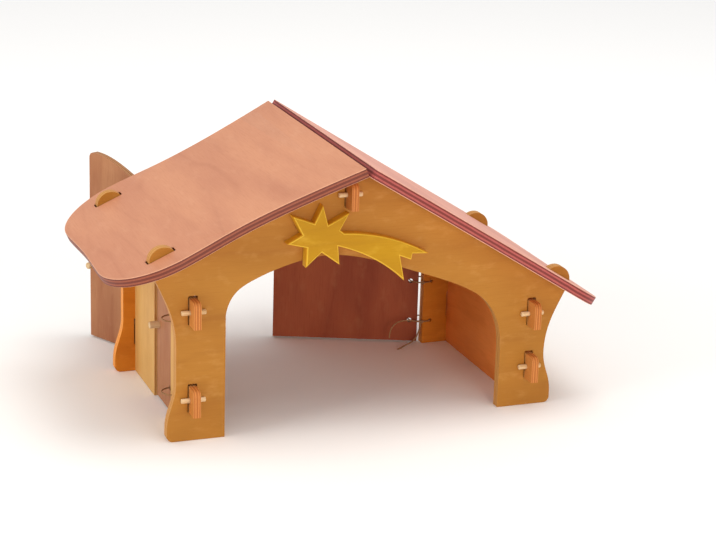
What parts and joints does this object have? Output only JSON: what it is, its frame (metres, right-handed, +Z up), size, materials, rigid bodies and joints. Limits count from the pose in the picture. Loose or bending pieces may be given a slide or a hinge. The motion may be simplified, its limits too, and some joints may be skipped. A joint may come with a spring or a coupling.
{
  "type": "toy stable",
  "caption": "Wooden toy nativity stable with arched gables, a lift-off pitched roof, a comet star over the doorway and doors hung on string.",
  "frame": {"origin": "middle of the base of the bounding box, doors open as in the picture", "axes": "+X along the gables to the viewer's right, +Y from the front gable to the rear one, +Z up"},
  "size_m": [0.4187, 0.3118, 0.2252],
  "materials": {
    "gable_ply": "satin",
    "wall_ply": "satin",
    "roof_ply": "satin",
    "door_ply": "satin",
    "star_wood": "satin",
    "dowel": "matte",
    "string": "matte"
  },
  "bodies": {
    "house": {"front_gable": "gable_ply", "rear_gable": "gable_ply", "left_wall": "wall_ply", "right_wall": "wall_ply", "ridge_beam": "wall_ply", "front_lock_pins": "dowel", "rear_lock_pins": "dowel", "comet_star": "star_wood", "left_low_tie": "string", "left_high_tie": "string", "right_low_tie": "string", "right_high_tie": "string", "side_low_tie": "string", "side_high_tie": "string", "loose_end_hanging": "string", "loose_end_floor": "string"},
    "roof_left_panel": {"roof_left": "roof_ply"},
    "roof_right_panel": {"roof_right": "roof_ply"},
    "left_leaf": {"rear_door_left": "door_ply", "left_knob": "dowel"},
    "right_leaf": {"rear_door_right": "door_ply", "right_knob": "dowel"},
    "side_leaf": {"side_door": "door_ply", "side_knob": "dowel"}
  },
  "joints": [
    {"name": "roof_left_lift", "type": "slide", "parent": "house", "child": "roof_left_panel", "axis": [-0.4131, 0, 0.9107], "range_m": [0, 0.025]},
    {"name": "roof_right_lift", "type": "slide", "parent": "house", "child": "roof_right_panel", "axis": [0.524, 0, 0.8517], "range_m": [0, 0.025]},
    {"name": "left_leaf_hinge", "type": "hinge", "parent": "house", "child": "left_leaf", "pos_m": [-0.1131, 0.06347, 0], "axis": [0, 0, 1], "range_deg": [-117.6, 12]},
    {"name": "right_leaf_hinge", "type": "hinge", "parent": "house", "child": "right_leaf", "pos_m": [0.1239, 0.06347, 0], "axis": [0, 0, 1], "range_deg": [-80, 21.6]},
    {"name": "side_leaf_hinge", "type": "hinge", "parent": "house", "child": "side_leaf", "pos_m": [-0.1425, -0.05853, 0], "axis": [0, 0, 1], "range_deg": [0, 95]}
  ]
}
